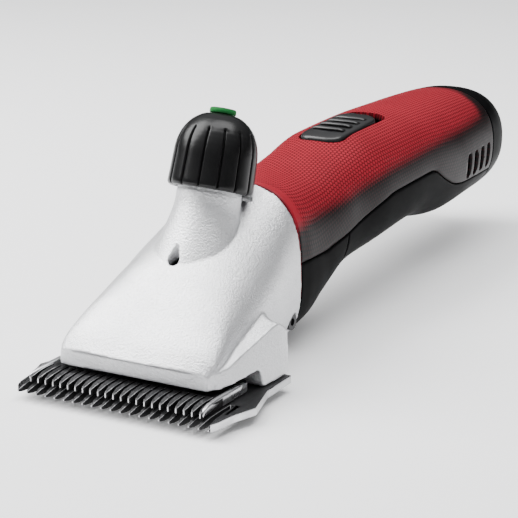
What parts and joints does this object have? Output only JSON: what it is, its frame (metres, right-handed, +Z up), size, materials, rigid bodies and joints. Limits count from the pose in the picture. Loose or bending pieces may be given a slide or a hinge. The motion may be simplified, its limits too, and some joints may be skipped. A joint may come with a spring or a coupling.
{
  "type": "livestock shearing handpiece",
  "caption": "Cordless livestock shearing handpiece: toothed comb and cutter under a cast head, sprung tension knob, long shaded grip with slide switch and drop-out battery",
  "frame": {"origin": "centre of the flat underside of the comb, 30 mm behind the tips of its teeth", "axes": "+Y runs back along the handle, +Z up out of the comb towards the tension knob, +X to the right of the teeth as seen from behind"},
  "size_m": [0.077, 0.262, 0.0824],
  "materials": {
    "cast_aluminium": "fine sand-blasted casting",
    "ground_steel": "ground bright on the working faces",
    "blackened_steel": "blackened, with ground edges",
    "machined_steel": "turned",
    "brass": "turned",
    "black_plastic": "satin moulded",
    "red_plastic": "satin, fine scale texture, fading to black towards the lower edge",
    "green_plastic": "satin moulded",
    "black_rubber": "matt",
    "grey_plastic": "satin moulded",
    "circuit_green": "solder-masked board",
    "cell_wrap": "shrink wrap",
    "filter_foam": "open foam"
  },
  "bodies": {
    "frame": {"air_filter_left": "filter_foam", "air_filter_right": "filter_foam", "bearing_carrier": "cast_aluminium", "collar_gasket": "black_rubber", "comb": "blackened_steel", "comb_screw_left": "machined_steel", "comb_screw_right": "machined_steel", "control_board": "circuit_green", "crank_bearing_front": "machined_steel", "crank_bearing_rear": "machined_steel", "end_cap": "black_plastic", "head_casting": "cast_aluminium", "head_screw_left": "blackened_steel", "head_screw_right": "blackened_steel", "lower_housing": "black_plastic", "microswitch": "black_plastic", "motor_can": "machined_steel", "motor_end_bell": "black_plastic", "motor_plate": "cast_aluminium", "pivot_post": "machined_steel", "switch_plate": "black_plastic", "tension_pin": "machined_steel", "tension_spring": "machined_steel", "upper_housing": "red_plastic"},
    "fork": {"fork": "machined_steel", "fork_pin_left": "machined_steel", "fork_pin_right": "machined_steel", "cutter": "ground_steel"},
    "crank": {"crank_shaft": "machined_steel", "crank_roller": "machined_steel", "drive_gear": "machined_steel"},
    "rotor": {"motor_rotor": "machined_steel", "motor_pinion": "brass", "cooling_fan": "grey_plastic"},
    "tension_carriage": {"spring_seat": "brass", "tension_cap": "green_plastic"},
    "knob": {"tension_knob": "black_plastic"},
    "switch": {"speed_switch": "black_plastic"},
    "battery": {"battery_case": "black_plastic", "battery_cell_left": "cell_wrap", "battery_cell_right": "cell_wrap", "battery_contacts": "brass"},
    "release": {"battery_release": "grey_plastic"}
  },
  "joints": [
    {"name": "crank_spin", "type": "hinge", "parent": "frame", "child": "crank", "pos_m": [0, 0.049, 0.021], "axis": [0, 1, 0], "range_deg": [-120, 60]},
    {"name": "rotor_spin", "type": "hinge", "parent": "frame", "child": "rotor", "pos_m": [0, 0.08, 0.033], "axis": [0, 1, 0], "range_deg": [-150, 295]},
    {"name": "fork_swing", "type": "hinge", "parent": "frame", "child": "fork", "pos_m": [0, 0.024, 0], "axis": [0, 0, 1], "range_deg": [-2, 4]},
    {"name": "tension_feed", "type": "slide", "parent": "frame", "child": "tension_carriage", "axis": [0, 0.3394, 0.9406], "range_m": [-0.00038, 0.0015], "deforming": ["tension_spring"]},
    {"name": "knob_turn", "type": "hinge", "parent": "tension_carriage", "child": "knob", "pos_m": [0, 0.028, 0.0539], "axis": [0, 0.3394, 0.9406], "range_deg": [-91, 361]},
    {"name": "switch_slide", "type": "slide", "parent": "frame", "child": "switch", "axis": [0, 0.9986, 0.0523], "range_m": [0, 0.0065]},
    {"name": "battery_slide", "type": "slide", "parent": "frame", "child": "battery", "axis": [0, 0, -1], "range_m": [0, 0.045]},
    {"name": "release_press", "type": "slide", "parent": "battery", "child": "release", "axis": [0, 0, 1], "range_m": [0, 0.0015], "stiffness_N_per_m": 600, "springref_m": -0.0005}
  ],
  "couplings": [
    {"joint": "rotor_spin", "follows": "crank_spin", "ratio": -2.4286},
    {"joint": "fork_swing", "follows": "crank_spin", "ratio": -0.02898},
    {"joint": "knob_turn", "follows": "tension_feed", "rad_per_m": 4188.8}
  ]
}
